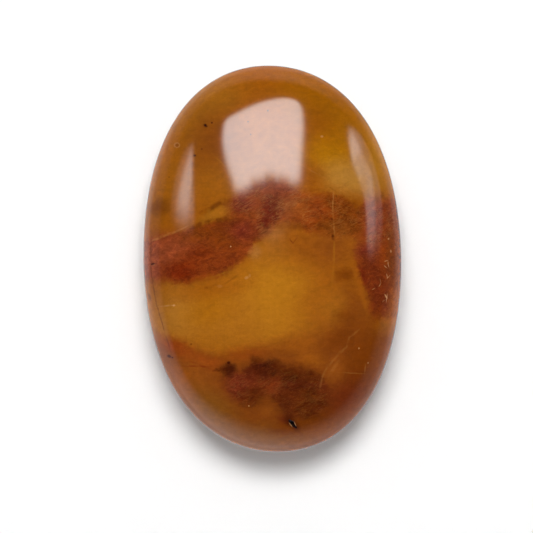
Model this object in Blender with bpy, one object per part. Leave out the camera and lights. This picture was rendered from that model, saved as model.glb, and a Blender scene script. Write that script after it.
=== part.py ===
"""Palm stone: one polished, hand-sized piece of banded amber and red stone.

The stone is a flattened pebble with a slightly squared oval outline. It lies with its length
along Y, its width along X and its thickness along Z, and rests on a small flat spot underneath.
All sizes are in metres, and the origin is the middle of the flat spot.
"""

import cmath
import math
from collections import namedtuple

import bmesh
import bpy
from mathutils import Matrix, Vector
from mathutils.bvhtree import BVHTree

# Driving dimensions of the stone.
LENGTH = 0.060
WIDTH = 0.040
THICKNESS = 0.020

# The widest line runs round the stone at this height above the flat spot.
GIRDLE_HEIGHT = 0.010

# The rounded underside would reach this far below the flat spot that it rests on.
FLAT_CUT = 0.00035

# The stone is an ellipsoid that is a little fuller between its axes. These are the shares of
# the radius that it gains there, in the outline from above and in the section from the side.
OUTLINE_FULLNESS = 0.030
SECTION_FULLNESS = 0.015

# Polishing by hand leaves the outline a little uneven. Each swelling has its share of the
# radius, how many times it comes round the stone, and the direction of its first peak.
SWELLINGS = (
    (0.0028, 4, math.radians(22)),
    (0.0010, 3, math.radians(50)),
)

# The crown of the upper face leans this far off the middle, towards +X and +Y.
CROWN_LEAN = (0.0004, -0.0006)

# Cuts along each edge of the cube that the stone starts from.
CUTS = 27

# Natural pits that the polish did not reach the bottom of, by their place on the upper face.
# The turn is the direction of the pit's length, from X.
Pit = namedtuple("Pit", "x y half_length half_width depth turn")
PITS = {
    "pit_near_lower_end": Pit(0.0023, -0.0254, 0.00085, 0.00048, 0.00045, math.radians(-51)),
    "pit_at_left_edge": Pit(-0.0184, -0.0002, 0.00040, 0.00028, 0.00020, math.radians(80)),
}
PIT_SIDES = 4

SHARP_EDGE = math.radians(30)
STONE_COLOUR = (0.42, 0.13, 0.025, 1.0)
STONE_ROUGHNESS = 0.12


def clear_scene():
    for obj in list(bpy.data.objects):
        bpy.data.objects.remove(obj, do_unlink=True)


def stone_material():
    material = bpy.data.materials.new("polished_stone")
    material.use_nodes = True
    shader = material.node_tree.nodes["Principled BSDF"]
    shader.inputs["Base Color"].default_value = STONE_COLOUR
    shader.inputs["Roughness"].default_value = STONE_ROUGHNESS
    shader.inputs["Metallic"].default_value = 0.0
    return material


def new_collection(name):
    collection = bpy.data.collections.new(name)
    bpy.context.scene.collection.children.link(collection)
    return collection


def cube_to_ball(point):
    """Moves a point of the cube from -1 to 1 to the unit ball, with the points kept even."""
    return Vector([math.tan(math.pi / 4 * value) for value in point]).normalized()


def ball_to_stone(point):
    """Moves a point of the unit ball to the stone's surface, measured from the girdle's middle."""
    x, y, z = point
    swell = 1 + 4 * OUTLINE_FULLNESS * x**2 * y**2 + 4 * SECTION_FULLNESS * (x**2 + y**2) * z**2
    for share, count, peak in SWELLINGS:
        turned = complex(x, y) * cmath.exp(-1j * peak)
        swell += share * (turned**count).real
    depth = THICKNESS - GIRDLE_HEIGHT if z > 0 else GIRDLE_HEIGHT + FLAT_CUT
    lean = max(z, 0) ** 2
    return Vector(
        (
            x * swell * WIDTH / 2 + lean * CROWN_LEAN[0],
            y * swell * LENGTH / 2 + lean * CROWN_LEAN[1],
            z * swell * depth,
        )
    )


def centre_and_size(bm):
    """Brings the outline to its exact length and width, with its middle over the origin."""
    for axis, wanted in ((0, WIDTH), (1, LENGTH)):
        low = min(v.co[axis] for v in bm.verts)
        high = max(v.co[axis] for v in bm.verts)
        for v in bm.verts:
            v.co[axis] = (v.co[axis] - (low + high) / 2) * wanted / (high - low)


def cut_flat_spot(bm):
    """Stands the shape on the ground plane and cuts off what is below it."""
    bmesh.ops.translate(bm, vec=(0, 0, GIRDLE_HEIGHT), verts=bm.verts)
    geometry = bm.verts[:] + bm.edges[:] + bm.faces[:]
    cut = bmesh.ops.bisect_plane(
        bm, geom=geometry, plane_co=(0, 0, 0), plane_no=(0, 0, 1), clear_inner=True
    )
    rim = [item for item in cut["geom_cut"] if isinstance(item, bmesh.types.BMEdge)]
    bmesh.ops.edgeloop_fill(bm, edges=rim)
    bmesh.ops.recalc_face_normals(bm, faces=bm.faces)


def make_stone(collection):
    bm = bmesh.new()
    bmesh.ops.create_cube(bm, size=2)
    bmesh.ops.subdivide_edges(bm, edges=bm.edges, cuts=CUTS, use_grid_fill=True)
    for v in bm.verts:
        v.co = ball_to_stone(cube_to_ball(v.co))
    centre_and_size(bm)
    cut_flat_spot(bm)
    mesh = bpy.data.meshes.new("palm_stone")
    bm.to_mesh(mesh)
    bm.free()
    mesh.shade_smooth()
    mesh.set_sharp_from_angle(angle=SHARP_EDGE)
    mesh.materials.append(stone_material())
    stone = bpy.data.objects.new("palm_stone", mesh)
    collection.objects.link(stone)
    return stone


def face_point(mesh, x, y):
    """The place straight below (x, y) on the upper face, and the face's normal there."""
    corners = [v.co for v in mesh.vertices]
    tree = BVHTree.FromPolygons(corners, [tuple(p.vertices) for p in mesh.polygons])
    place, normal, _, _ = tree.ray_cast(Vector((x, y, 2 * THICKNESS)), Vector((0, 0, -1)))
    return place, normal


def pit_cone(name, pit):
    """A cone of four sides with its point down, which is as wide as the pit at its mid height."""
    bm = bmesh.new()
    bmesh.ops.create_cone(
        bm, cap_ends=True, segments=PIT_SIDES, radius1=0, radius2=2, depth=2 * pit.depth
    )
    for v in bm.verts:
        v.co.x *= pit.half_length
        v.co.y *= pit.half_width
    bmesh.ops.recalc_face_normals(bm, faces=bm.faces)
    mesh = bpy.data.meshes.new(name)
    bm.to_mesh(mesh)
    bm.free()
    return bpy.data.objects.new(name, mesh)


def cut_pit(stone, name, pit, cutters):
    """Sets the pit's cone square to the face, with its mid height in the face, and cuts it out."""
    place, normal = face_point(stone.data, pit.x, pit.y)
    side = normal.cross(Vector((math.cos(pit.turn), math.sin(pit.turn), 0))).normalized()
    axes = Matrix((side.cross(normal), side, normal)).transposed()
    cone = pit_cone(name, pit)
    cone.location = place
    cone.rotation_euler = axes.to_euler()
    cone.hide_render = True
    cone.display_type = "WIRE"
    cutters.objects.link(cone)
    cut = stone.modifiers.new(name, "BOOLEAN")
    cut.operation = "DIFFERENCE"
    cut.solver = "EXACT"
    cut.object = cone


def main():
    clear_scene()
    stone = make_stone(new_collection("palm_stone"))
    cutters = new_collection("pit_cutters")
    for name, pit in PITS.items():
        cut_pit(stone, name, pit, cutters)


main()
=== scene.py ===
"""Looks of the palm stone: its polished surface, its markings, and the soft studio round it."""

import cmath
import math
from collections import namedtuple

import bmesh
import bpy
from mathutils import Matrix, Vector


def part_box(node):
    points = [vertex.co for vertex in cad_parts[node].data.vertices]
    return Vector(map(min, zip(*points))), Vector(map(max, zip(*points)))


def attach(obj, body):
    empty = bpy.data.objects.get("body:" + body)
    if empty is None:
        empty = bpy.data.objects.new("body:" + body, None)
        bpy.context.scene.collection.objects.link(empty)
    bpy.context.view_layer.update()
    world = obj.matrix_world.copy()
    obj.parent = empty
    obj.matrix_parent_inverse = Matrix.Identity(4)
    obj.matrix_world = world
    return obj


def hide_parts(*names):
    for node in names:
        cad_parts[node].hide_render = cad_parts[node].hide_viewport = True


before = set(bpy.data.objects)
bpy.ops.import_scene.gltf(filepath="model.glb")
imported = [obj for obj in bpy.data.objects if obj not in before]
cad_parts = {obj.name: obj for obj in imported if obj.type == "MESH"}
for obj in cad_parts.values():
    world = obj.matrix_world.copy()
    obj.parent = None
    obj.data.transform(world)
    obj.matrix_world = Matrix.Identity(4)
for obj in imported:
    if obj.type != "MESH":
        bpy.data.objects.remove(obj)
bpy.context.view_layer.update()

MM = 0.001
NODE = "palm_stone"
BODY = "root"

STONE_LOW, STONE_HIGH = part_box(NODE)
WIDTH, LENGTH, THICKNESS = (high - low for low, high in zip(STONE_LOW, STONE_HIGH))

# The form, with the same values as the solid's.
GIRDLE_HEIGHT = 10 * MM
FLAT_CUT = 0.35 * MM
OUTLINE_FULLNESS = 0.030
SECTION_FULLNESS = 0.015
SWELLINGS = (
    (0.0028, 4, math.radians(22)),
    (0.0010, 3, math.radians(50)),
)
CROWN_LEAN = (0.4 * MM, -0.6 * MM)

# Natural pits: their place, half length and half width, depth, and the direction of the length.
Pit = namedtuple("Pit", "x y half_length half_width depth turn")
PITS = (
    Pit(2.3 * MM, -25.4 * MM, 0.85 * MM, 0.48 * MM, 0.45 * MM, math.radians(-51)),
    Pit(-18.4 * MM, -0.2 * MM, 0.40 * MM, 0.28 * MM, 0.20 * MM, math.radians(80)),
)

# Cuts along each edge of the cube that the stone starts from, and the further cuts along each
# edge of a face whose middle is within this reach of a pit.
CUTS = 109
PIT_CUTS = 5
PIT_REACH = 1.3 * MM

# Seen from above, a pit is narrowed by the face's slope, at most down to this share of its width.
NARROWEST = 0.2


# Form of the stone


def cube_to_ball(point):
    """Moves a point of the cube from -1 to 1 to the unit ball, with the points kept even."""
    return Vector([math.tan(math.pi / 4 * value) for value in point]).normalized()


def ball_to_stone(point):
    """Moves a point of the unit ball to the stone's surface, measured from the girdle's middle."""
    x, y, z = point
    swell = 1 + 4 * OUTLINE_FULLNESS * x**2 * y**2 + 4 * SECTION_FULLNESS * (x**2 + y**2) * z**2
    for share, count, peak in SWELLINGS:
        turned = complex(x, y) * cmath.exp(-1j * peak)
        swell += share * (turned**count).real
    depth = THICKNESS - GIRDLE_HEIGHT if z > 0 else GIRDLE_HEIGHT + FLAT_CUT
    lean = max(z, 0) ** 2
    return Vector(
        (
            x * swell * WIDTH / 2 + lean * CROWN_LEAN[0],
            y * swell * LENGTH / 2 + lean * CROWN_LEAN[1],
            z * swell * depth,
        )
    )


def centre_and_size(bm):
    """Brings the outline to its exact length and width, with its middle over the origin."""
    for axis, wanted in ((0, WIDTH), (1, LENGTH)):
        low = min(v.co[axis] for v in bm.verts)
        high = max(v.co[axis] for v in bm.verts)
        for v in bm.verts:
            v.co[axis] = (v.co[axis] - (low + high) / 2) * wanted / (high - low)


def cut_flat_spot(bm):
    """Stands the shape on the ground plane and cuts off what is below it."""
    bmesh.ops.translate(bm, vec=(0, 0, GIRDLE_HEIGHT), verts=bm.verts)
    geometry = bm.verts[:] + bm.edges[:] + bm.faces[:]
    cut = bmesh.ops.bisect_plane(
        bm, geom=geometry, plane_co=(0, 0, 0), plane_no=(0, 0, 1), clear_inner=True
    )
    rim = [item for item in cut["geom_cut"] if isinstance(item, bmesh.types.BMEdge)]
    bmesh.ops.edgeloop_fill(bm, edges=rim)
    bmesh.ops.recalc_face_normals(bm, faces=bm.faces)


def refine_near_pits(bm):
    """Cuts the cube's upper faces more finely where the pits will lie."""
    near = set()
    for face in bm.faces:
        place = ball_to_stone(cube_to_ball(face.calc_center_median()))
        for pit in PITS:
            if place.z > 0 and math.hypot(place.x - pit.x, place.y - pit.y) < PIT_REACH:
                near.update(face.edges)
    bmesh.ops.subdivide_edges(bm, edges=list(near), cuts=PIT_CUTS, use_grid_fill=True)


def sink_pits(bm):
    """Presses each pit in along the face's normal, as a lozenge that is deepest in the middle."""
    bm.normal_update()
    for pit in PITS:
        cos, sin = math.cos(pit.turn), math.sin(pit.turn)
        for v in bm.verts:
            x, y = v.co.x - pit.x, v.co.y - pit.y
            along = abs(x * cos + y * sin) / pit.half_length
            across = abs(y * cos - x * sin) / (pit.half_width * max(v.normal.z, NARROWEST))
            if v.normal.z > 0 and along + across < 1:
                v.co -= v.normal * pit.depth * (1 - along - across)


def make_stone():
    """The whole stone, smooth all over but for its flat spot, which is the face of most corners."""
    bm = bmesh.new()
    bmesh.ops.create_cube(bm, size=2)
    bmesh.ops.subdivide_edges(bm, edges=bm.edges, cuts=CUTS, use_grid_fill=True)
    refine_near_pits(bm)
    for v in bm.verts:
        v.co = ball_to_stone(cube_to_ball(v.co))
    centre_and_size(bm)
    cut_flat_spot(bm)
    sink_pits(bm)
    mesh = bpy.data.meshes.new("polished_stone")
    bm.to_mesh(mesh)
    bm.free()
    mesh.shade_smooth()
    flat_spot = max(mesh.polygons, key=lambda face: len(face.vertices))
    flat_spot.use_smooth = False
    stone = bpy.data.objects.new("polished_stone", mesh)
    bpy.context.scene.collection.objects.link(stone)
    return stone


# Camera, floor and lights

# The camera looks straight down, and the stone's length leans a little left of upright.
CAMERA_HEIGHT = 500 * MM
STONE_ROLL = math.radians(1.86)
# The picture's side, its scale, and the place of the stone's middle in it.
IMAGE_SIDE = 533
PIXELS_PER_MM = 6.446
STONE_CENTRE_PIXEL = (272.3, 258.9)
SENSOR_WIDTH = 36
CLIP_NEAR, CLIP_FAR = 10 * MM, 10000 * MM

FLOOR_REACH = 3000 * MM
PAPER_COLOUR = (0.86, 0.86, 0.86)
PAPER_ROUGHNESS = 0.9

# Every card stands this far from the stone's middle, and the room ring stands behind them all.
STONE_MIDDLE = Vector((0, 0, GIRDLE_HEIGHT))
CARD_DISTANCE = 600 * MM
RING_DISTANCE = 760 * MM
# Quads along each side of a card, fine enough for its soft edge.
CARD_QUADS = 48


def make_camera():
    """A camera whose picture has the stone where the photo has it, at the photo's scale."""
    data = bpy.data.cameras.new("camera")
    camera = bpy.data.objects.new("camera", data)
    bpy.context.scene.collection.objects.link(camera)
    bpy.context.scene.camera = camera
    data.clip_start = CLIP_NEAR
    data.clip_end = CLIP_FAR
    # At the girdle's height the picture is this wide.
    across = IMAGE_SIDE / PIXELS_PER_MM * MM
    data.sensor_width = SENSOR_WIDTH
    data.lens = SENSOR_WIDTH * (CAMERA_HEIGHT - GIRDLE_HEIGHT) / across
    middle = IMAGE_SIDE / 2
    off_x = (middle - STONE_CENTRE_PIXEL[0]) / PIXELS_PER_MM * MM
    off_y = (STONE_CENTRE_PIXEL[1] - middle) / PIXELS_PER_MM * MM
    cos, sin = math.cos(-STONE_ROLL), math.sin(-STONE_ROLL)
    camera.location = (off_x * cos - off_y * sin, off_x * sin + off_y * cos, CAMERA_HEIGHT)
    camera.rotation_euler = (0, 0, -STONE_ROLL)


def plain_material(name, colour, roughness):
    """A matt material of one colour."""
    material = bpy.data.materials.new(name)
    material.use_nodes = True
    shader = material.node_tree.nodes["Principled BSDF"]
    shader.inputs["Base Color"].default_value = (*colour, 1)
    shader.inputs["Roughness"].default_value = roughness
    shader.inputs["Specular IOR Level"].default_value = 0
    return material


def add_mesh(name, points, faces, material):
    mesh = bpy.data.meshes.new(name)
    mesh.from_pydata(points, [], faces)
    mesh.materials.append(material)
    obj = bpy.data.objects.new(name, mesh)
    bpy.context.scene.collection.objects.link(obj)
    return obj


def make_floor():
    """Pale paper, whose mirror image in the polish comes from the room ring instead."""
    r = FLOOR_REACH
    corners = [(-r, -r, 0), (r, -r, 0), (r, r, 0), (-r, r, 0)]
    paper = plain_material("floor_paper", PAPER_COLOUR, PAPER_ROUGHNESS)
    floor = add_mesh("floor", corners, [(0, 1, 2, 3)], paper)
    floor.visible_glossy = False


def toward(azimuth, elevation):
    """The direction at this azimuth from +X and this elevation, in degrees."""
    a, e = math.radians(azimuth), math.radians(elevation)
    return Vector((math.cos(a) * math.cos(e), math.sin(a) * math.cos(e), math.sin(e)))


def angles(ray):
    """The azimuth and elevation of a direction, in degrees."""
    return math.degrees(math.atan2(ray.y, ray.x)), math.degrees(math.asin(ray.normalized().z))


def rise(value, start, reach):
    """Zero up to the start, one from a reach beyond it, and a smooth change between them."""
    share = min(max((value - start) / reach, 0), 1)
    return share * share * (3 - 2 * share)


def depth_inside(point, outline):
    """How far inside the outline a point lies, and below zero outside it."""
    nearest = math.inf
    inside = False
    for a, b in zip(outline, outline[1:] + outline[:1]):
        along = (point - a).dot(b - a) / (b - a).length_squared
        nearest = min(nearest, (point - a.lerp(b, min(max(along, 0), 1))).length)
        if (a.y > point.y) != (b.y > point.y):
            if point.x < a.x + (point.y - a.y) / (b.y - a.y) * (b.x - a.x):
                inside = not inside
    return nearest if inside else -nearest


def glow_material(name, radiance):
    material = bpy.data.materials.new(name)
    material.use_nodes = True
    nodes, links = material.node_tree.nodes, material.node_tree.links
    nodes.clear()
    share = nodes.new("ShaderNodeAttribute")
    share.attribute_name = "glow"
    strength = nodes.new("ShaderNodeMath")
    strength.operation = "MULTIPLY"
    strength.inputs[1].default_value = radiance
    glow = nodes.new("ShaderNodeEmission")
    out = nodes.new("ShaderNodeOutputMaterial")
    links.new(share.outputs["Fac"], strength.inputs[0])
    links.new(strength.outputs["Value"], glow.inputs["Strength"])
    links.new(glow.outputs["Emission"], out.inputs["Surface"])
    return material


# Outlines of the cards, as (azimuth, elevation) in degrees.
WINDOW = [
    (125, 42), (121, 39), (117, 38.8), (111, 39.3), (103, 38.6), (94, 36.7), (86, 34.2), (79, 31.7),
    (73.5, 31), (69, 32), (66, 36), (63.5, 42), (61, 49), (58.5, 56), (56, 61), (53, 65),
    (51, 68), (55, 71), (71, 74), (91, 75), (111, 75), (124, 72.5), (134, 70.5), (139, 68),
    (140, 67), (137, 63), (135, 58.5), (133, 54), (130, 48.5),
]
LEFT_STRIP = [
    (142, 28), (146, 35), (150, 39.5), (155.5, 45), (159.5, 47), (163.5, 48.5), (170, 50),
    (176, 44), (176, 30), (170, 21), (158, 18), (150, 19), (145, 23),
]
RIGHT_STRIP = [
    (39, 19), (37.5, 26), (32.5, 32), (28, 35.5), (23.5, 34), (19, 33), (15, 32.5), (11.5, 33),
    (8, 35), (3, 36), (-3, 34), (-3, 18), (3, 9), (7, 4), (10, 0), (14, -3), (20, -6), (26, -6),
    (34, -2), (38, 5), (40, 12),
]
OVERHEAD = [
    (130, 66), (112, 57), (90, 55), (68, 57), (50, 66), (54, 84), (90, 87), (126, 84),
]

# Round the horizon, the room by azimuth: its radiance far below the horizon, a little below it
# and at it, and the elevation at which it has gone dark.
HORIZON = (
    (-180, 0.66, 0.27, 0.20, 12),
    (-150, 0.50, 0.95, 0.62, 14),
    (-120, 0.75, 1.40, 1.05, 30),
    (-97, 0.70, 1.35, 0.92, 33),
    (-60, 0.50, 0.74, 0.50, 24),
    (-40, 0.60, 0.50, 0.34, 21),
    (0, 0.48, 0.14, 0.05, 10),
    (40, 0.30, 0.08, 0.02, 5),
    (84, 0.45, 0.38, 0.58, 19),
    (133, 0.60, 0.38, 0.13, 6),
    (160, 0.78, 0.34, 0.20, 10),
    (180, 0.66, 0.27, 0.20, 12),
)
# The elevations between which the ring reaches, and the degrees between its points.
HORIZON_LOW, HORIZON_HIGH = -88, 30
RING_STEP = 2
# The elevations that are meant by a little below the horizon and by far below it.
NEAR_FLOOR, DEEP_FLOOR = -20, -34

# Greys of the world: what lights the stone and the floor, what the polish mirrors of it, and the
# background in the picture.
WORLD_LIGHT, WORLD_MIRRORED, WORLD_SEEN = 0.44, 0.03, 1.0


def window_fade(azimuth, elevation):
    """Ragged and soft at its top end, where the polish is uneven, and dimmer at its low end."""
    edge = 70.6 + 0.9 * math.sin(azimuth * 0.7) + 0.5 * math.sin(azimuth * 0.31 + 1)
    dimmer = 0.9 + 0.1 * rise(elevation, 36, 16)
    return dimmer * (1 - rise(elevation, edge - 1.2, 3))


def left_fade(azimuth, elevation):
    """Soft along its low side, brightest in its lower half, and dying away at its far end."""
    body = 0.85 * rise(elevation, 25, 10) + 0.15 * rise(elevation, 18, 6)
    crease = 38 + (azimuth - 150) * 0.2
    dimmer = 1 - 0.53 * rise(elevation, crease, 3)
    return body * dimmer * (1 - rise(azimuth, 161, 11))


def right_fade(azimuth, elevation):
    """Brightest at its top end, with a bright ridge further along that has a dim low side."""
    top = 1 + 0.9 * rise(azimuth, 27, 3)
    near = 0.36 * rise(elevation, -12, 24) + 0.64 * rise(elevation, 8, 12)
    ridge = 27 - 0.8 * (azimuth - 6)
    skirt = 0.3 * rise(elevation, -7, 10)
    far = skirt + (1 - skirt) * rise(elevation, ridge - 10, 9)
    far *= 1 - 0.5 * rise(elevation, ridge, 12) * rise(azimuth, 13, 5)
    return top * (far + (near - far) * rise(azimuth, 19, 5)) * rise(azimuth, -4, 14)


def horizon_glow(azimuth, elevation):
    """The room's radiance at this azimuth and elevation, in degrees."""
    for (a0, *before), (a1, *after) in zip(HORIZON, HORIZON[1:]):
        if a0 <= azimuth <= a1:
            share = (azimuth - a0) / (a1 - a0)
            deep, below, level, top = (x + (y - x) * share for x, y in zip(before, after))
    if elevation >= 0:
        return level * (1 - rise(elevation, 0, top))
    if elevation > NEAR_FLOOR:
        return level + (below - level) * elevation / NEAR_FLOOR
    share = rise(NEAR_FLOOR - elevation, 0, NEAR_FLOOR - DEEP_FLOOR)
    return below + (deep - below) * share


def add_glow(name, points, shares, columns, radiance, mirrored=True):
    """A glowing mesh over rows of points, whose shares of the radiance are set point by point."""
    faces = []
    for corner in range(len(points) - columns):
        quad = (corner, corner + 1, corner + columns + 1, corner + columns)
        if (corner + 1) % columns and any(shares[index] > 0 for index in quad):
            faces.append(quad)
    card = add_mesh(name, points, faces, glow_material(name, radiance))
    glow = card.data.attributes.new("glow", "FLOAT", "POINT")
    glow.data.foreach_set("value", shares)
    card.visible_camera = False
    card.visible_diffuse = not mirrored
    card.visible_glossy = mirrored


def light_card(name, corners, radiance, edge, mirrored=True, fade=None):
    """A flat glowing card that faces the stone.

    Its corners are (azimuth, elevation) in degrees, and its edge goes dark over this many degrees.
    A mirrored card is seen in the polish only, and also gives the light of the ring that it hides.
    The others light the scene without being seen. The fade takes a direction's azimuth and
    elevation and gives a share of the radiance.
    """
    rays = [toward(*corner) for corner in corners]
    facing = sum(rays, Vector()).normalized()
    across = facing.cross(Vector((0, 0, 1))).normalized()
    upward = across.cross(facing)
    outline = [Vector((ray.dot(across), ray.dot(upward))) / ray.dot(facing) for ray in rays]
    low = Vector((min(p.x for p in outline), min(p.y for p in outline)))
    high = Vector((max(p.x for p in outline), max(p.y for p in outline)))
    points = []
    shares = []
    for row in range(CARD_QUADS + 1):
        for column in range(CARD_QUADS + 1):
            u = low.x + (high.x - low.x) * column / CARD_QUADS
            v = low.y + (high.y - low.y) * row / CARD_QUADS
            ray = facing + across * u + upward * v
            points.append(ray * CARD_DISTANCE + STONE_MIDDLE)
            share = rise(depth_inside(Vector((u, v)), outline), 0, math.radians(edge))
            if fade:
                share *= fade(*angles(ray))
            if mirrored:
                share += horizon_glow(*angles(ray)) / radiance
            shares.append(share)
    add_glow(name, points, shares, CARD_QUADS + 1, radiance, mirrored)


def room_ring():
    """What the polish mirrors of the room near the horizon."""
    points = []
    shares = []
    azimuths = range(-180, 180 + 1, RING_STEP)
    for elevation in range(HORIZON_LOW, HORIZON_HIGH + 1, RING_STEP):
        for azimuth in azimuths:
            points.append(toward(azimuth, elevation) * RING_DISTANCE + STONE_MIDDLE)
            shares.append(horizon_glow(azimuth, elevation))
    add_glow("room_ring", points, shares, len(azimuths), radiance=1)


def make_lights():
    light_card("window", WINDOW, radiance=9.1, edge=4, fade=window_fade)
    light_card("left_strip", LEFT_STRIP, radiance=4.6, edge=3, fade=left_fade)
    light_card("right_strip", RIGHT_STRIP, radiance=2.45, edge=5, fade=right_fade)
    light_card("overhead", OVERHEAD, radiance=22.4, edge=4, mirrored=False)
    room_ring()


def make_world():
    """Brighter for the stone and floor than for the polish, so that the polish stays deep."""
    world = bpy.data.worlds.new("studio")
    bpy.context.scene.world = world
    world.use_nodes = True
    nodes, links = world.node_tree.nodes, world.node_tree.links
    nodes.clear()
    path = nodes.new("ShaderNodeLightPath")
    out = nodes.new("ShaderNodeOutputWorld")
    grounds = []
    for grey in (WORLD_LIGHT, WORLD_MIRRORED, WORLD_SEEN):
        ground = nodes.new("ShaderNodeBackground")
        ground.inputs["Color"].default_value = (grey, grey, grey, 1)
        grounds.append(ground.outputs["Background"])
    shader, mirrored, seen = grounds
    for ray, ground in (("Is Glossy Ray", mirrored), ("Is Camera Ray", seen)):
        mix = nodes.new("ShaderNodeMixShader")
        links.new(path.outputs[ray], mix.inputs["Fac"])
        links.new(shader, mix.inputs[1])
        links.new(ground, mix.inputs[2])
        shader = mix.outputs["Shader"]
    links.new(shader, out.inputs["Surface"])


def make_studio():
    make_camera()
    make_floor()
    make_lights()
    make_world()
    view = bpy.context.scene.view_settings
    view.view_transform = "Standard"
    view.look = "None"


# Colour of the stone

# Colours as they look in the studio, in 8 bits.
SEEN = {
    "amber": (155, 85, 16),
    "amber_deep": (148, 78, 8),
    "amber_light": (166, 102, 26),
    "honey": (171, 105, 27),
    "honey_bright": (187, 119, 26),
    "honey_yellow": (178, 120, 28),
    "honey_pale": (184, 128, 52),
    "gold": (164, 98, 6),
    "gold_bright": (179, 115, 13),
    "olive": (130, 82, 26),
    "tawny": (146, 78, 24),
    "orange": (152, 82, 20),
    "rust": (140, 60, 18),
    "brick": (142, 66, 36),
    "red_brown": (130, 54, 20),
    "red_deep": (110, 34, 12),
    "oxblood": (95, 22, 12),
    "maroon": (100, 38, 18),
    "plum": (112, 40, 28),
    "brown": (127, 63, 20),
    "brown_dark": (112, 52, 12),
    "umber": (84, 36, 10),
    "soot": (58, 20, 8),
    "black": (16, 6, 5),
    "cream": (205, 150, 95),
    "pale": (186, 124, 60),
}
# The light on the upper face, for turning what is seen into the stone's own colour: at its
# middle, what it gains for each mm along the stone, and its loss with the square of the mm across.
LIGHT_MIDDLE = 1.37
LIGHT_ALONG = 0.012
LIGHT_ACROSS = 0.00055
# What the polish adds to each colour that is seen, and the least that is left without it.
SHEEN = 0.003
DARKEST = 0.0005

# The girdle's height, and the height that the markings were placed from, in mm.
GIRDLE = GIRDLE_HEIGHT / MM
SEEN_FROM = 500.0

# A mark in the polish near the girdle dies away over this many mm down the side.
MARK_DEPTH = 1.5
# The part of a line mark's radius over which it falls to zero, either way.
LINE_MARK_SOFTNESS = 0.6

# Keeps a place's x and y and drops its height.
FLAT = (1, 1, 0)

# A mark's middle, its half length and half width in mm, its turn in degrees, the part of its radius
# over which it falls to zero either way, its colour and its share. A line mark is given by its
# ends.
Blob = namedtuple("Blob", "x y long wide turn soft colour share")
LineMark = namedtuple("LineMark", "x0 y0 x1 y1 wide colour share")


def linear(value):
    """The light of an 8-bit value, by the curve that screens use."""
    value /= 255
    return value / 12.92 if value <= 0.04045 else ((value + 0.055) / 1.055) ** 2.4


def own_colour(name, x, y):
    """The stone's own colour where it looks like this one, at this place on it in mm."""
    light = (LIGHT_MIDDLE + LIGHT_ALONG * y) * (1 - LIGHT_ACROSS * x * x)
    return (*(max(linear(value) - SHEEN, DARKEST) / light for value in SEEN[name]), 1)


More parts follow.
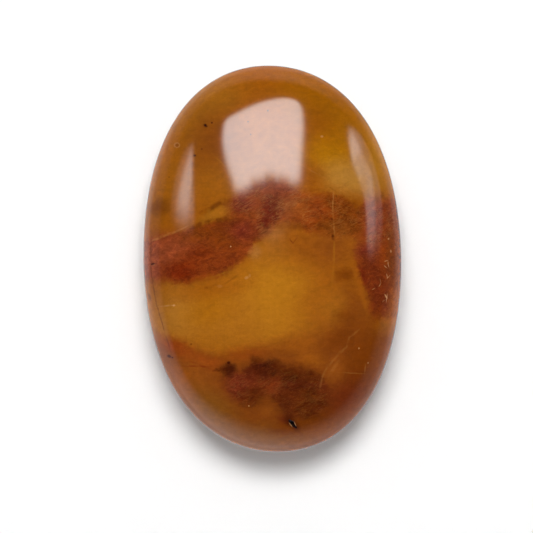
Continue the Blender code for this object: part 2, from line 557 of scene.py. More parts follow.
class Paint:
    """Adds nodes to a material, one call for each."""

    def __init__(self, material):
        self.nodes = material.node_tree.nodes
        self.links = material.node_tree.links

    def add(self, kind, inputs, output=0, **settings):
        node = self.nodes.new(kind)
        for name, value in settings.items():
            setattr(node, name, value)
        for slot, value in inputs.items():
            if isinstance(value, bpy.types.NodeSocket):
                self.links.new(value, node.inputs[slot])
            else:
                node.inputs[slot].default_value = value
        return node.outputs[output]

    def math(self, operation, a, b=0.0, c=0.0):
        return self.add("ShaderNodeMath", {0: a, 1: b, 2: c}, operation=operation)

    def vector(self, operation, a, b):
        return self.add("ShaderNodeVectorMath", {0: a, 1: b}, operation=operation)

    def split(self, vector, axes):
        return [self.add("ShaderNodeSeparateXYZ", {0: vector}, axis) for axis in range(axes)]

    def join(self, x, y, z):
        return self.add("ShaderNodeCombineXYZ", {0: x, 1: y, 2: z})

    def scaled(self, a, factor):
        return self.add("ShaderNodeVectorMath", {"Vector": a, "Scale": factor}, operation="SCALE")

    def noise(self, where, size, detail=2.0, roughness=0.5, distortion=0.0, output=0):
        """Noise of this size in mm, as a value, or as a colour from output 1."""
        inputs = {
            "Vector": where,
            "Scale": 1 / size,
            "Detail": detail,
            "Roughness": roughness,
            "Distortion": distortion,
        }
        return self.add("ShaderNodeTexNoise", inputs, output)

    def wave(self, where, size, reach, detail=2.0, roughness=0.5):
        """A shift of the place, by noise of this size and to about half this reach either way."""
        shift = self.noise(where, size, detail, roughness, output=1)
        return self.scaled(self.vector("SUBTRACT", shift, (0.5, 0.5, 0.5)), reach)

    def off_middle(self, noise):
        """How far a noise is from its middle value, which makes lines of the places near it."""
        return self.math("ABSOLUTE", self.math("SUBTRACT", noise, 0.5))

    def ramp(self, value, low, high, start=0.0, end=1.0, smooth=True):
        """Start below low, end above high, and a smooth change between them."""
        inputs = {0: value, 1: low, 2: high, 3: start, 4: end}
        kind = "SMOOTHSTEP" if smooth else "LINEAR"
        return self.add("ShaderNodeMapRange", inputs, interpolation_type=kind)

    def mix(self, share, below, above):
        return self.add("ShaderNodeMix", {0: share, 6: below, 7: above}, 2, data_type="RGBA")

    def curve(self, along, points):
        """A smooth curve through points (along, value)."""
        first, last = points[0][0], points[-1][0]
        low = min(value for _, value in points)
        high = max(value for _, value in points)
        node = self.nodes.new("ShaderNodeFloatCurve")
        curve = node.mapping.curves[0]
        places = [((x - first) / (last - first), (y - low) / (high - low)) for x, y in points]
        curve.points[0].location = places[0]
        curve.points[1].location = places[-1]
        for place in places[1:-1]:
            curve.points.new(*place)
        node.mapping.update()
        self.links.new(self.ramp(along, first, last, smooth=False), node.inputs["Value"])
        return self.ramp(node.outputs["Value"], 0, 1, low, high, smooth=False)

    def as_place(self, vector):
        """The same vector as a place, which ovals read without a hidden node for each of them."""
        return self.add("ShaderNodeMapping", {"Vector": vector}, vector_type="POINT")

    def oval(self, where, x, y, long, wide, turn, soft, share):
        """The share inside an oval, which falls to zero over this part of its radius either way."""
        reach = 1 + soft
        inputs = {
            "Vector": where,
            "Location": (x, y, 0),
            "Rotation": (0, 0, math.radians(turn)),
            "Scale": (long * reach, wide * reach, MARK_DEPTH),
        }
        place = self.add("ShaderNodeMapping", inputs, vector_type="TEXTURE")
        inward = self.add("ShaderNodeTexGradient", {0: place}, 1, gradient_type="SPHERICAL")
        return self.ramp(inward, 0, 2 * soft / reach, 0.0, share)

    def blobs(self, where, colour, blobs):
        for b in blobs:
            share = self.oval(where, b.x, b.y, b.long, b.wide, b.turn, b.soft, b.share)
            colour = self.mix(share, colour, own_colour(b.colour, b.x, b.y))
        return colour

    def line_marks(self, where, colour, line_marks):
        for v in line_marks:
            x, y = (v.x0 + v.x1) / 2, (v.y0 + v.y1) / 2
            long = math.hypot(v.x1 - v.x0, v.y1 - v.y0) / 2
            turn = math.degrees(math.atan2(v.y1 - v.y0, v.x1 - v.x0))
            share = self.oval(where, x, y, long, v.wide / 2, turn, LINE_MARK_SOFTNESS, v.share)
            colour = self.mix(share, colour, own_colour(v.colour, x, y))
        return colour


# Broad soft tones of the amber ground.
TONES = [
    Blob(-9, 25, 5, 2.8, 30, 0.9, "amber_light", 0.95),
    Blob(-13, 21, 2.8, 4, 40, 0.9, "amber_light", 0.65),
    Blob(-8.2, 18.2, 4.0, 4.6, 20, 0.9, "brown", 0.65),
    Blob(-16, 13, 3, 5, -15, 0.9, "amber_light", 0.4),
    Blob(-17, 8.4, 1.5, 1.1, 0, 0.9, "umber", 0.55),
    Blob(-9, 12, 4.5, 3, 20, 0.9, "amber_light", 0.4),
    Blob(8.5, 23.5, 6, 3.4, -33, 0.9, "gold", 0.9),
    Blob(12.5, 20.5, 2.6, 4, -40, 0.9, "gold", 0.85),
    Blob(7.5, 19.5, 2.4, 4.5, 0, 0.9, "amber_deep", 0.5),
    Blob(9.8, 15.4, 4.0, 3.0, -20, 0.9, "gold_bright", 0.95),
    Blob(12.5, 12.2, 3.6, 2.4, -15, 0.9, "honey_pale", 0.85),
    Blob(17, 15, 2, 5, 12, 0.9, "honey_yellow", 0.7),
    Blob(18.6, 8, 1.6, 6, 5, 0.9, "amber_light", 0.6),
    Blob(6.5, 12.8, 2.2, 1.4, 0, 0.9, "orange", 0.6),
    Blob(-9, -8.5, 10, 5.0, 8, 0.9, "honey", 0.95),
    Blob(1, -8, 8, 6.5, 0, 0.9, "honey", 0.9),
    Blob(2.2, -8, 4.5, 3.5, 0, 0.9, "honey_bright", 0.7),
    Blob(7.0, -5.5, 5, 6, 0, 0.9, "orange", 0.75),
    Blob(0.5, -4, 4.6, 3.8, 20, 0.9, "honey_bright", 0.85),
    Blob(-15, -7.5, 3, 3.5, 0, 0.9, "honey_pale", 0.35),
    Blob(-10, -4.4, 5.5, 1.6, 8, 0.9, "amber", 0.7),
    Blob(-10.5, -7.8, 3.4, 2.0, 10, 0.9, "gold", 0.6),
    Blob(6, 1.6, 5.5, 3, 0, 0.9, "orange", 0.85),
    Blob(-0.8, 1.8, 2.2, 2.4, 0, 0.9, "honey", 0.5),
    Blob(12.5, -7.5, 3, 3, 0, 0.9, "brown", 0.6),
    Blob(11.5, -11.5, 4.5, 3.5, 0, 0.9, "brown", 0.8),
    Blob(9.0, -8, 2.0, 2.2, 0, 0.9, "honey", 0.5),
    Blob(18.4, -9, 1.6, 6, -8, 0.9, "amber_light", 0.4),
]

# Edges of the bands, as (x, y) or, for the right side, as (y, x).
RED_BAND_TOP = [
    (-20, 3.4), (-18.5, 3.8), (-15.5, 4.6), (-13, 5.0), (-10, 5.9), (-7, 6.3), (-3, 6.5),
]
RED_BAND_FOOT = [
    (-20, -2.6), (-17, -2.8), (-14, -3.4), (-11, -2.6), (-8.5, -2.4), (-6, -1), (-4, 0.2),
    (-3, 1.4), (-2.6, 2.7), (-0.5, 3.2), (2, 4),
]
DARK_BAND_TOP = [
    (-8, 8.4), (-6, 9.6), (-4, 11), (-2, 11.9), (0, 12.5), (2, 12.0), (4, 11.0), (7, 10.1),
    (10, 9.9), (12, 8.8), (14, 7.6), (17, 8.2), (20, 9),
]
DARK_BAND_FOOT = [
    (-8, 6.6), (-5, 5.2), (-3, 4), (-1, 3.2), (0.2, 4.4), (2, 5.4), (4, 5.2), (5.5, 4.0),
    (8, 3.4), (9, 3.0), (12, 2.8), (13.5, 2), (20, 1),
]
RIGHT_RED_EDGE = [
    (-11, 15.6), (-9.5, 15), (-8, 14.8), (-6, 14.6), (-5, 14), (-3, 13.1), (0, 12.9), (2, 12.8),
    (4, 13.2), (7, 13.6), (9, 15), (12, 17),
]
LOWER_TOP = [
    (-20, -9.5), (-17, -11.6), (-14, -12.8), (-12, -13.6), (-10, -14.4), (-6, -14.6), (-3, -13.4),
    (0, -12.8), (3, -12.2), (6, -12), (9, -12), (13, -12), (20, -11),
]
LOWER_DARK_TOP = [
    (-10, -18.6), (-8.5, -17.6), (-6, -17.4), (-4.5, -16.6), (-3, -15.6), (-1.5, -15.8),
    (0, -16.2), (1.5, -16.8), (4, -17.2), (6.2, -18.0), (8, -19.5), (10, -21.5),
]
LOWER_DARK_FOOT = [
    (-10, -19.5), (-8, -20.5), (-6, -22.2), (-4, -22.6), (-2, -21.2), (0, -22.5), (3, -24.8),
    (6, -24.4), (8, -22.6), (10, -21.8),
]

# Bands between a top and a foot. Each edge is soft from the first to the second of two depths
# inside it, each end from the first to the second of two places along x, and the colour is the
# one that is seen at (x, y).
Band = namedtuple("Band", "top top_edge foot foot_edge ends colour x y share")
RED_BAND = Band(
    RED_BAND_TOP, (-0.5, 0.7), RED_BAND_FOOT, (-0.8, 1.0), [(2.0, -3.0)], "red_brown", -10, 1, 0.95
)
DARK_BAND = Band(
    DARK_BAND_TOP, (-0.7, 1.2), DARK_BAND_FOOT, (-0.6, 0.8), [(-8.5, -4.5)], "rust", 3, 7, 0.95
)
DARK_CLOUD = Band(
    LOWER_DARK_TOP, (-0.6, 0.9), LOWER_DARK_FOOT, (-0.8, 1.0), [(-9.5, -6.5), (9.5, 7.0)],
    "maroon", 0, -20, 0.9,
)

# Patches, in the order in which they lie over the bands.
PATCHES = [
    Blob(-18, 0.8, 2.6, 3.0, 0, 0.9, "brick", 0.9),
    Blob(-15, 2.6, 3.4, 1.8, 10, 0.9, "brick", 0.6),
    Blob(-14.2, -1.6, 2.8, 1.4, -8, 0.8, "red_deep", 0.9),
    Blob(-12.0, 0.3, 2.4, 1.5, 30, 0.9, "red_deep", 0.55),
    Blob(-9.6, -0.6, 2.6, 1.6, 20, 0.9, "red_brown", 0.7),
    Blob(-6.8, -0.6, 1.6, 0.9, 40, 0.9, "maroon", 0.5),
    Blob(-11.5, 4.2, 2.6, 1.0, 15, 0.8, "brown_dark", 0.7),
    Blob(-7.8, 3.4, 2.2, 1.4, 0, 0.9, "brown_dark", 0.5),
    Blob(-8.8, 7.2, 2.3, 0.8, 22, 0.7, "amber_light", 0.9),
    Blob(-4.5, 4.6, 1.9, 1.5, 0, 0.8, "plum", 0.75),
    Blob(-6.8, 5.6, 2.0, 0.5, 12, 0.8, "umber", 0.4),
    Blob(-4.5, 8.6, 1.9, 1.4, 10, 0.8, "plum", 0.8),
    Blob(-0.6, 11.0, 3.2, 1.0, 5, 0.8, "brick", 0.55),
    Blob(0.4, 7.9, 1.8, 1.7, 0, 0.8, "oxblood", 0.95),
    Blob(-0.8, 5.6, 1.6, 0.9, 10, 0.8, "oxblood", 0.85),
    Blob(-2.2, 3.9, 1.6, 0.8, 10, 0.8, "maroon", 0.6),
    Blob(3.6, 8.2, 2.4, 1.8, -10, 0.9, "tawny", 0.5),
    Blob(1.8, 10.2, 2.2, 1.0, -12, 0.9, "red_deep", 0.5),
    Blob(6.9, 7.4, 1.2, 1.4, 0, 0.9, "red_brown", 0.7),
    Blob(9.0, 8.8, 1.0, 0.9, 0, 0.9, "brown_dark", 0.7),
    Blob(8.7, 4.8, 1.8, 1.1, 0, 0.8, "brown_dark", 0.95),
    Blob(11.3, 7.2, 1.4, 1.9, 10, 0.8, "brown_dark", 0.8),
    Blob(12.8, 6.2, 1.4, 2.2, 0, 0.9, "brown_dark", 0.6),
    Blob(11.0, 4.2, 2.4, 1.1, 0, 0.9, "brown_dark", 0.85),
    Blob(9.2, 4.4, 1.7, 1.1, 0, 0.9, "umber", 0.3),
    Blob(11.9, 4.4, 1.5, 1.4, 0, 0.9, "umber", 0.3),
    Blob(4.0, 4.9, 1.6, 0.5, -8, 0.8, "brown_dark", 0.6),
    Blob(1.6, 4.9, 1.6, 0.6, -10, 0.9, "orange", 0.6),
    Blob(10.0, 1.8, 3.4, 2.4, 0, 0.9, "tawny", 0.75),
    Blob(11.5, 1.6, 1.4, 1.4, 0, 0.9, "orange", 0.3),
    Blob(9.0, 1.4, 1.6, 1.6, 0, 0.9, "brown", 0.35),
    Blob(16.8, 5.6, 1.8, 3.0, 0, 0.9, "plum", 0.45),
    Blob(14.3, 0.8, 1.4, 1.0, 10, 0.8, "plum", 0.8),
    Blob(15.2, -1.6, 1.7, 2.4, 0, 0.9, "maroon", 0.8),
    Blob(13.8, -3.3, 0.7, 1.3, 10, 0.7, "oxblood", 0.6),
    Blob(16.4, -5.6, 1.7, 3.0, 5, 0.9, "maroon", 0.85),
    Blob(18.9, 0, 1.1, 6, 2, 0.9, "brown_dark", 0.8),
    Blob(18.9, -8.0, 1.0, 3.0, -8, 0.9, "tawny", 0.7),
    Blob(11.2, -2.8, 1.4, 0.9, 0, 0.8, "brown_dark", 0.75),
    Blob(13.6, -4.9, 0.5, 3.2, 14, 0.8, "orange", 0.8),
    Blob(10.9, -9.2, 1.5, 1.2, 0, 0.9, "brown_dark", 0.6),
    Blob(-15.0, -13.4, 2.6, 1.1, -28, 0.9, "rust", 0.95),
    Blob(-11.5, -15.4, 2.6, 1.1, -18, 0.9, "rust", 0.9),
    Blob(-5, -14.6, 3.2, 1.0, 8, 0.9, "rust", 0.6),
    Blob(-13.5, -18.0, 3.0, 3.4, -30, 0.9, "tawny", 0.7),
    Blob(-10.0, -23.0, 4.0, 2.2, -40, 0.9, "olive", 0.6),
    Blob(-3.0, -27.6, 6, 1.8, -6, 0.9, "olive", 0.45),
    Blob(3.6, -13.4, 3.0, 1.3, 0, 0.9, "orange", 0.7),
    Blob(5.6, -15.8, 1.8, 1.0, -10, 0.9, "orange", 0.75),
    Blob(10.2, -12.6, 2.4, 1.4, 20, 0.9, "brown_dark", 0.7),
    Blob(13.2, -16.6, 2.6, 5.0, -14, 0.9, "brown_dark", 0.8),
    Blob(10.2, -21.8, 3.8, 2.2, 35, 0.9, "maroon", 0.8),
    Blob(9.2, -17.6, 1.3, 1.7, -20, 0.9, "tawny", 0.5),
    Blob(-7.3, -17.0, 1.2, 1.0, 0, 0.6, "soot", 0.9),
    Blob(-8.9, -16.9, 0.7, 0.25, 8, 0.6, "umber", 0.8),
    Blob(-5.8, -19.4, 1.9, 1.7, 20, 0.9, "plum", 0.4),
    Blob(-2.0, -17.3, 2.5, 1.4, 0, 0.7, "soot", 0.72),
    Blob(-0.6, -16.2, 1.2, 0.7, 0, 0.8, "soot", 0.6),
    Blob(-3.0, -15.5, 0.9, 0.6, 0, 0.8, "umber", 0.8),
    Blob(2.6, -17.9, 3.0, 1.3, -10, 0.8, "umber", 0.9),
    Blob(3.0, -19.8, 2.6, 1.3, -10, 0.8, "soot", 0.5),
    Blob(6.0, -18.6, 1.3, 0.9, -20, 0.8, "umber", 0.7),
    Blob(6.6, -20.4, 1.8, 1.5, -20, 0.8, "umber", 0.12),
    Blob(5.4, -21.6, 2.4, 1.2, -10, 0.8, "umber", 0.8),
    Blob(-3.8, -21.2, 2.2, 1.4, 10, 0.8, "umber", 0.7),
    Blob(-1.0, -19.8, 1.6, 1.2, 0, 0.9, "red_brown", 0.25),
    Blob(4.0, -23.4, 3.2, 2.2, 0, 0.8, "umber", 0.85),
    Blob(0.6, -21.6, 1.4, 0.9, 20, 0.8, "umber", 0.6),
    Blob(-1.5, -23.6, 0.9, 0.6, 0, 0.9, "tawny", 0.4),
    Blob(1.6, -26.4, 2.6, 1.0, 5, 0.9, "brown_dark", 0.8),
    Blob(1.0, -24.9, 0.9, 0.7, 0, 0.8, "maroon", 0.7),
    Blob(0.2, 3.8, 1.4, 1.0, 0, 0.9, "pale", 0.3),
    Blob(-2.6, 1.0, 0.8, 0.9, 0, 0.9, "pale", 0.5),
]

# Seams, cracks and scratches, and a painted reflection along the left rim.
VEINS_AND_REFLECTED_EDGE = [
    LineMark(-18.7, 3.4, -16.6, 4.1, 0.35, "pale", 0.4),
    LineMark(-17.0, 4.1, -14.6, 4.7, 0.40, "pale", 0.4),
    LineMark(-14.9, 4.7, -13.0, 5.5, 0.25, "pale", 0.35),
    LineMark(-12.4, 5.3, -9.8, 6.1, 0.70, "umber", 0.55),
    LineMark(-10.3, 6.0, -7.0, 6.4, 0.80, "umber", 0.6),
    LineMark(-7.7, 6.7, -4.6, 6.2, 0.80, "umber", 0.4),
    LineMark(-11.0, 7.4, -9.1, 8.0, 0.80, "umber", 0.55),
    LineMark(-9.5, 8.0, -7.8, 8.9, 0.80, "umber", 0.55),
    LineMark(-8.1, 8.9, -6.2, 9.4, 0.90, "umber", 0.5),
    LineMark(9.8, 10.3, 9.6, 6.8, 0.26, "pale", 0.45),
    LineMark(9.6, 7.2, 9.75, 3.4, 0.24, "pale", 0.35),
    LineMark(9.7, 3.0, 9.5, -1.4, 0.30, "honey_bright", 0.28),
    LineMark(9.55, -0.8, 9.0, -4.8, 0.35, "honey", 0.3),
    LineMark(9.2, 10.8, 10.1, 10.2, 0.22, "soot", 0.7),
    LineMark(10.1, 10.4, 10.3, 9.1, 0.25, "umber", 0.5),
    LineMark(9.45, 3.5, 9.7, 2.5, 0.50, "soot", 0.8),
    LineMark(2.7, 3.1, 3.3, 2.3, 0.20, "brown_dark", 0.7),
    LineMark(3.3, 2.3, 3.9, 3.1, 0.20, "brown_dark", 0.7),
    LineMark(12.4, -1.8, 13.4, -4.8, 0.60, "orange", 0.7),
    LineMark(13.2, -4.4, 14.2, -8.2, 0.60, "orange", 0.75),
    LineMark(17.4, -1.0, 17.9, -0.8, 0.12, "cream", 0.6),
    LineMark(17.9, -1.0, 18.05, -1.9, 0.12, "cream", 0.6),
    LineMark(17.3, -1.6, 17.7, -2.0, 0.12, "cream", 0.6),
    LineMark(17.6, -2.9, 17.75, -3.6, 0.12, "cream", 0.6),
    LineMark(17.7, -3.6, 18.15, -3.2, 0.12, "cream", 0.6),
    LineMark(16.6, -3.6, 16.75, -4.3, 0.12, "cream", 0.6),
    LineMark(16.75, -4.2, 16.4, -4.8, 0.12, "cream", 0.6),
    LineMark(15.3, -5.3, 15.8, -5.0, 0.12, "cream", 0.6),
    LineMark(17.25, -6.1, 17.6, -6.7, 0.18, "cream", 0.8),
    LineMark(17.65, -6.1, 17.4, -7.3, 0.12, "cream", 0.6),
    LineMark(16.9, -7.2, 17.3, -6.9, 0.12, "cream", 0.6),
    LineMark(-17.6, -6.8, -15.2, -6.7, 0.22, "cream", 0.35),
    LineMark(13.1, -11.4, 11.5, -12.6, 0.34, "pale", 0.18),
    LineMark(11.6, -12.4, 11.0, -14.2, 0.34, "pale", 0.15),
    LineMark(11.0, -14.0, 10.1, -15.0, 0.34, "pale", 0.18),
    LineMark(10.1, -14.6, 8.8, -16.3, 0.34, "pale", 0.15),
    LineMark(9.0, -15.9, 7.9, -17.3, 0.34, "pale", 0.15),
    LineMark(8.0, -16.9, 7.1, -18.8, 0.34, "pale", 0.15),
    LineMark(7.2, -18.4, 6.7, -20.4, 0.34, "pale", 0.2),
    LineMark(9.7, -16.2, 8.1, -18.6, 0.50, "pale", 0.15),
    LineMark(10.4, -18.0, 13.9, -18.3, 0.18, "pale", 0.2),
    LineMark(13.7, -18.3, 13.9, -16.9, 0.18, "pale", 0.2),
    LineMark(-14.4, -16.2, -10.4, -16.4, 0.25, "red_deep", 0.5),
    LineMark(-13.5, -15.4, -9.8, -16.9, 0.25, "red_deep", 0.35),
    LineMark(-12.6, -3.2, -8.8, -2.5, 0.35, "orange", 0.5),
    LineMark(-9.0, -2.4, -4.8, -1.2, 0.30, "honey", 0.5),
    LineMark(-7.6, -3.7, -4.7, -1.9, 0.30, "brown_dark", 0.35),
    LineMark(-10.8, -4.2, -8.8, -3.8, 0.50, "brown_dark", 0.6),
    # Painted reflection: these four dark lines along the left rim are the edge of the mirrored
    # floor.
    LineMark(-18.7, 4.8, -18.9, -2.0, 0.20, "umber", 0.45),
    LineMark(-18.9, -1.2, -18.2, -6.4, 0.22, "umber", 0.5),
    LineMark(-18.35, -5.6, -17.2, -10.4, 0.22, "umber", 0.5),
    LineMark(-17.35, -9.8, -16.1, -14.4, 0.20, "umber", 0.4),
    LineMark(5.2, 14.2, 8.6, 12.2, 0.20, "pale", 0.35),
    LineMark(-9.0, 16.8, -6.2, 13.8, 0.25, "amber_light", 0.5),
    LineMark(-8.2, 13.4, -5.8, 11.6, 0.22, "amber_light", 0.4),
]

# Specks and small marks in the polish, three of them painted shade.
SPECKS = [
    Blob(-9.7, 21.0, 0.36, 0.2, -35, 0.5, "soot", 0.95),
    Blob(-8.7, 21.4, 0.15, 0.13, 0, 0.5, "soot", 0.85),
    Blob(-11.5, 16.4, 0.2, 0.17, 0, 0.5, "soot", 0.85),
    Blob(-10.4, 17.4, 0.15, 0.15, 0, 0.5, "umber", 0.6),
    Blob(-14.2, 18.1, 0.46, 0.42, 0, 0.3, "cream", 0.4),
    Blob(-14.2, 18.1, 0.28, 0.26, 0, 0.4, "tawny", 1.0),
    Blob(8.3, 18.7, 0.22, 0.16, 20, 0.5, "cream", 0.6),
    Blob(-4.1, -2.8, 0.32, 0.2, 30, 0.6, "cream", 0.4),
    Blob(-3.6, -2.5, 0.15, 0.25, 0, 0.6, "cream", 0.25),
    Blob(-8.3, -4.0, 0.4, 0.25, 0, 0.6, "pale", 0.35),
    Blob(-6.4, 2.1, 0.09, 0.09, 0, 0.5, "cream", 1.0),
    Blob(-15.5, -6.7, 0.2, 0.15, 0, 0.5, "cream", 0.7),
    Blob(-16.5, -14.6, 0.32, 0.2, -20, 0.5, "soot", 0.85),
    Blob(-16.0, -14.8, 0.14, 0.12, 0, 0.5, "soot", 0.8),
    Blob(-13.0, -12.8, 0.15, 0.13, 0, 0.5, "umber", 0.7),
    Blob(-7.3, -15.9, 0.25, 0.22, 0, 0.5, "soot", 0.9),
    Blob(-4.4, -22.7, 0.1, 0.08, 0, 0.5, "cream", 0.7),
    Blob(-19.2, -5.3, 0.16, 0.6, 10, 0.5, "umber", 0.5),
    Blob(13.0, -14.3, 0.1, 0.14, 0, 0.5, "cream", 0.5),
    Blob(14.3, -16.6, 0.1, 0.12, 0, 0.5, "cream", 0.4),
    Blob(18.1, 2.5, 0.12, 0.12, 0, 0.5, "cream", 0.6),
    Blob(18.4, 0.6, 0.12, 0.2, 0, 0.5, "cream", 0.5),
    Blob(9.4, 5.9, 0.2, 0.2, 0, 0.5, "soot", 0.5),
    # Painted shade: these three black specks under the window's highlight stand for tiny pits that
    # break it.
    Blob(0.1, 23.0, 0.12, 0.12, 0, 0.5, "black", 1.0),
    Blob(-3.1, 21.4, 0.12, 0.1, 0, 0.5, "black", 1.0),
    Blob(-2.8, 19.4, 0.1, 0.1, 0, 0.5, "black", 0.9),
    Blob(-15.6, 13.2, 0.1, 0.1, 0, 0.5, "umber", 0.7),
]

# Marks over the pits: dark in their middles, with pale broken stone on their walls.
PIT_MARKS = [
    Blob(1.8, -24.9, 0.9, 0.7, -51, 0.8, "soot", 0.7),
    Blob(2.8, -25.9, 0.7, 0.5, -51, 0.8, "umber", 0.9),
    Blob(2.2, -25.35, 0.72, 0.30, -51, 0.35, "black", 1.0),
    Blob(2.75, -25.95, 0.26, 0.16, -51, 0.5, "black", 0.9),
    Blob(1.98, -25.55, 0.40, 0.06, -56, 0.5, "cream", 0.6),
    Blob(2.66, -25.42, 0.34, 0.06, -66, 0.5, "cream", 0.7),
    Blob(-18.42, -0.2, 0.30, 0.11, 12, 0.5, "black", 0.85),
    Blob(-18.2, -0.36, 0.15, 0.06, 20, 0.5, "pale", 0.4),
]

# The markings slant by this much along x and y for each mm below the girdle.
SLANT_X, SLANT_Y = 1.2, -0.9

# The share of the close wave that the fine marks follow.
MARK_WAVE = (0.2, 0.2, 0)

# The grain of the mottling is finer along the stone, and the weave has threads both ways.
MOTTLE_STRETCH = (0.75, 1.25, 1)
THREADS = ((0.5, 4.0, 1.0), (4.0, 0.5, 1.0))
MOTTLE_GAIN, WEAVE_GAIN = 2.0, 0.12
# How strong the mottling is away from the red and dark places.
QUIET = 0.36

# Fibres run at a slant, in long thin stretches.
FIBRE_TURN = math.radians(25)
FIBRE_STRETCH = (2.2, 0.45, 1)

# Bright lines: what they do to the colour under them, and their share.
LINE_GAIN = 1.35
LINE_GLOW = (0.018, 0.009, 0.003)
LINE_SHARE = 0.5

# Painted light: the colour's gain at the girdle, for light let through the thin edge,
# and how far above and below it the gain reaches, in mm.
EDGE_GLOW_GAIN = 1.8
EDGE_GLOW_REACH = 5.2

POLISH_ROUGHNESS = 0.09
POLISH_SPECULAR = 0.5
POLISH_IOR = 1.54
# The stone's colour where its markings are left out.
PLAIN_COLOUR = (0.4, 0.15, 0.03)

# The lines of the polish run along the stone, and its unevenness outweighs them.
POLISH_STRETCH = (3.0, 0.2, 3.0)
UNEVEN_WEIGHT = 8.0
POLISH_HEIGHT = 0.0006 * MM


def tint(paint, colour, share, most, name, x, y):
    """Lays the colour that is seen at (x, y) over another, at most by this much."""
    return paint.mix(paint.math("MULTIPLY", share, most), colour, own_colour(name, x, y))


def lay_band(paint, colour, x, y, band):
    """Gives the colour with the band laid over it, and the band's own share."""
    from_top = paint.math("SUBTRACT", paint.curve(x, band.top), y)
    from_foot = paint.math("SUBTRACT", y, paint.curve(x, band.foot))
    top, foot = paint.ramp(from_top, *band.top_edge), paint.ramp(from_foot, *band.foot_edge)
    share = paint.math("MULTIPLY", top, foot)
    for end in band.ends:
        share = paint.math("MULTIPLY", share, paint.ramp(x, *end))
    return tint(paint, colour, share, band.share, band.colour, band.x, band.y), share


def lay_lower_end(paint, colour, x, y):
    """The lower end is browner."""
    lower = paint.ramp(paint.math("SUBTRACT", paint.curve(x, LOWER_TOP), y), -1.5, 2.0)
    return tint(paint, colour, lower, 0.92, "brown", 0, -18)


def lay_right_zone(paint, colour, x, y):
    """Gives the colour with the red zone at the right laid over it, and the zone's own share."""
    edge = paint.math("SUBTRACT", x, paint.curve(y, RIGHT_RED_EDGE))
    share = paint.math("MULTIPLY", paint.ramp(edge, -0.6, 0.8), paint.ramp(y, -11, -8.5))
    share = paint.math("MULTIPLY", share, paint.ramp(y, 11, 7))
    return tint(paint, colour, share, 0.92, "red_brown", 16, 0), share


def add_mottling(paint, colour, place, stretched, busy):
    mottle = paint.noise(stretched, size=1.1, detail=6.0, roughness=0.7, distortion=0.6)
    mottle = paint.math("MULTIPLY", paint.math("SUBTRACT", mottle, 0.5), busy)
    weave = [paint.noise(paint.vector("MULTIPLY", place, thread), size=1.0) for thread in THREADS]
    weave = paint.math("SUBTRACT", paint.math("ADD", *weave), 1.0)
    weave = paint.math("MULTIPLY", weave, WEAVE_GAIN)
    mottle = paint.math("MULTIPLY_ADD", mottle, MOTTLE_GAIN, weave)
    return paint.scaled(colour, paint.math("ADD", mottle, 1.0))


def add_lines(paint, colour, where, size, reach, busy):
    """Thin bright lines, where a noise of this size is within this reach of its middle value."""
    lines = paint.noise(where, size, detail=2.5, distortion=1.4)
    lines = paint.ramp(paint.off_middle(lines), reach, 0.0)
    lines = paint.math("MULTIPLY", lines, busy)
    light = paint.vector("ADD", paint.scaled(colour, LINE_GAIN), LINE_GLOW)
    return paint.mix(paint.math("MULTIPLY", lines, LINE_SHARE), colour, light)


def add_tufts(paint, colour, place, slanting, dark, cloud):
    """Pale fibres, in loose tufts in the dark places."""
    fibres = paint.noise(slanting, size=0.9, detail=3.0, roughness=0.6, distortion=0.8)
    fibres = paint.ramp(paint.off_middle(fibres), 0.06, 0.0, 0.0, 0.24)
    tufts = paint.ramp(paint.noise(place, size=2.2, detail=1.0), 0.36, 0.62)
    where = paint.math("MAXIMUM", dark, paint.math("MULTIPLY", cloud, 0.5))
    fibres = paint.math("MULTIPLY", fibres, paint.math("MULTIPLY", tufts, where))
    return paint.mix(fibres, colour, own_colour("pale", 0, 0))


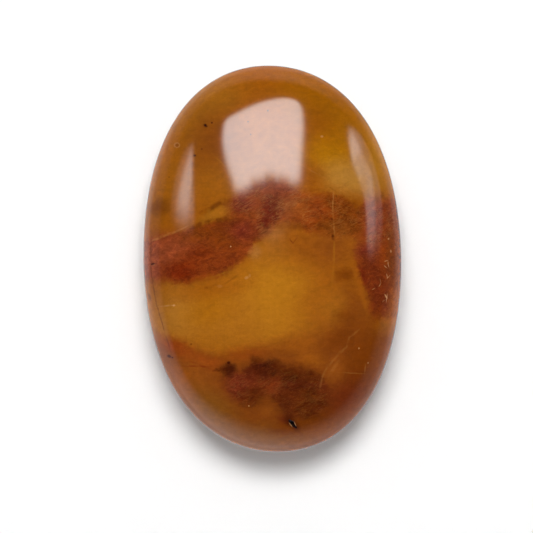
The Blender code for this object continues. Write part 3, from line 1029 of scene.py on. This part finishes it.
def stone_colour(paint, place):
    """The markings, laid over the amber ground one after another."""
    x, y, z = paint.split(place, 3)
    below = paint.math("MAXIMUM", paint.math("SUBTRACT", GIRDLE, z), 0.0)
    plan_x = paint.math("MULTIPLY_ADD", below, SLANT_X, x)
    plan_y = paint.math("MULTIPLY_ADD", below, SLANT_Y, y)
    surface = paint.join(plan_x, plan_y, below)
    # The markings were placed by how they look from above, where what is higher spreads wider.
    spread = paint.math("DIVIDE", SEEN_FROM - GIRDLE, paint.math("SUBTRACT", SEEN_FROM, z))
    plan = paint.vector("MULTIPLY", paint.scaled(surface, spread), FLAT)
    depth = paint.join(0.0, 0.0, below)
    broad = paint.wave(place, size=5.0, reach=2.2)
    close = paint.wave(place, size=1.0, reach=1.5, detail=4.0, roughness=0.7)
    near = paint.vector("MULTIPLY", paint.vector("ADD", plan, close), FLAT)
    far = paint.as_place(paint.vector("MULTIPLY", paint.vector("ADD", near, broad), FLAT))
    colour = paint.blobs(far, own_colour("amber", 0, 0), TONES)

    near_x, near_y = paint.split(near, 2)
    near = paint.as_place(near)
    mark_wave = paint.vector("MULTIPLY", close, MARK_WAVE)
    skin = paint.as_place(paint.vector("ADD", plan, paint.vector("ADD", depth, mark_wave)))
    surface = paint.as_place(surface)
    colour = lay_lower_end(paint, colour, near_x, near_y)
    colour, red = lay_band(paint, colour, near_x, near_y, RED_BAND)
    colour, dark = lay_band(paint, colour, near_x, near_y, DARK_BAND)
    colour, right = lay_right_zone(paint, colour, near_x, near_y)
    colour, cloud = lay_band(paint, colour, near_x, near_y, DARK_CLOUD)
    colour = paint.blobs(near, colour, PATCHES)

    # Fibres and mottling, strong in the red and dark places and faint elsewhere.
    upper, lower = paint.math("MAXIMUM", red, dark), paint.math("MAXIMUM", right, cloud)
    busy = paint.math("MAXIMUM", upper, lower)
    busy = paint.ramp(busy, 0, 1, QUIET, 1.0, smooth=False)
    stretched = paint.vector("MULTIPLY", place, MOTTLE_STRETCH)
    colour = add_mottling(paint, colour, place, stretched, busy)
    inputs = {"Vector": place, "Rotation": (0, 0, FIBRE_TURN), "Scale": FIBRE_STRETCH}
    slanting = paint.add("ShaderNodeMapping", inputs, vector_type="TEXTURE")
    colour = add_lines(paint, colour, stretched, 1.7, 0.016, busy)
    colour = add_lines(paint, colour, stretched, 0.8, 0.026, busy)
    colour = add_lines(paint, colour, slanting, 1.2, 0.03, busy)
    colour = add_tufts(paint, colour, place, slanting, dark, cloud)

    # Painted light: the colour is brightened near the girdle, where the thin edge lets a little
    # light through.
    height = paint.math("ABSOLUTE", paint.math("SUBTRACT", z, GIRDLE))
    colour = paint.scaled(colour, paint.ramp(height, 0.0, EDGE_GLOW_REACH, EDGE_GLOW_GAIN, 1.0))

    # Veins, and the painted reflection along the left rim, are broken here and there, and marks in
    # the polish aren't.
    veined_and_reflected = paint.line_marks(skin, colour, VEINS_AND_REFLECTED_EDGE)
    whole = paint.ramp(paint.noise(place, size=1.3), 0.38, 0.58, 0.3, 1.0)
    colour = paint.mix(whole, colour, veined_and_reflected)
    colour = paint.blobs(skin, colour, SPECKS)
    return paint.blobs(surface, colour, PIT_MARKS)


def stone_relief(paint, place):
    """The normal of a hand polish: fine lines along the stone, and a faint unevenness."""
    grain = paint.noise(paint.vector("MULTIPLY", place, POLISH_STRETCH), size=1.0)
    uneven = paint.noise(place, size=5.0, detail=1.0)
    height = paint.math("MULTIPLY_ADD", uneven, UNEVEN_WEIGHT, grain)
    inputs = {"Height": height, "Strength": 1.0, "Distance": POLISH_HEIGHT}
    return paint.add("ShaderNodeBump", inputs, "Normal")


def stone_material():
    material = plain_material("polished_stone", PLAIN_COLOUR, POLISH_ROUGHNESS)
    shader = material.node_tree.nodes["Principled BSDF"]
    shader.inputs["Specular IOR Level"].default_value = POLISH_SPECULAR
    shader.inputs["IOR"].default_value = POLISH_IOR
    paint = Paint(material)
    position = paint.add("ShaderNodeTexCoord", {}, "Object")
    place = paint.scaled(position, 1 / MM)
    paint.links.new(stone_colour(paint, place), shader.inputs["Base Color"])
    paint.links.new(stone_relief(paint, place), shader.inputs["Normal"])
    return material


def main():
    make_studio()
    stone = make_stone()
    stone.data.materials.append(stone_material())
    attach(stone, BODY)
    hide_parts(NODE)


main()
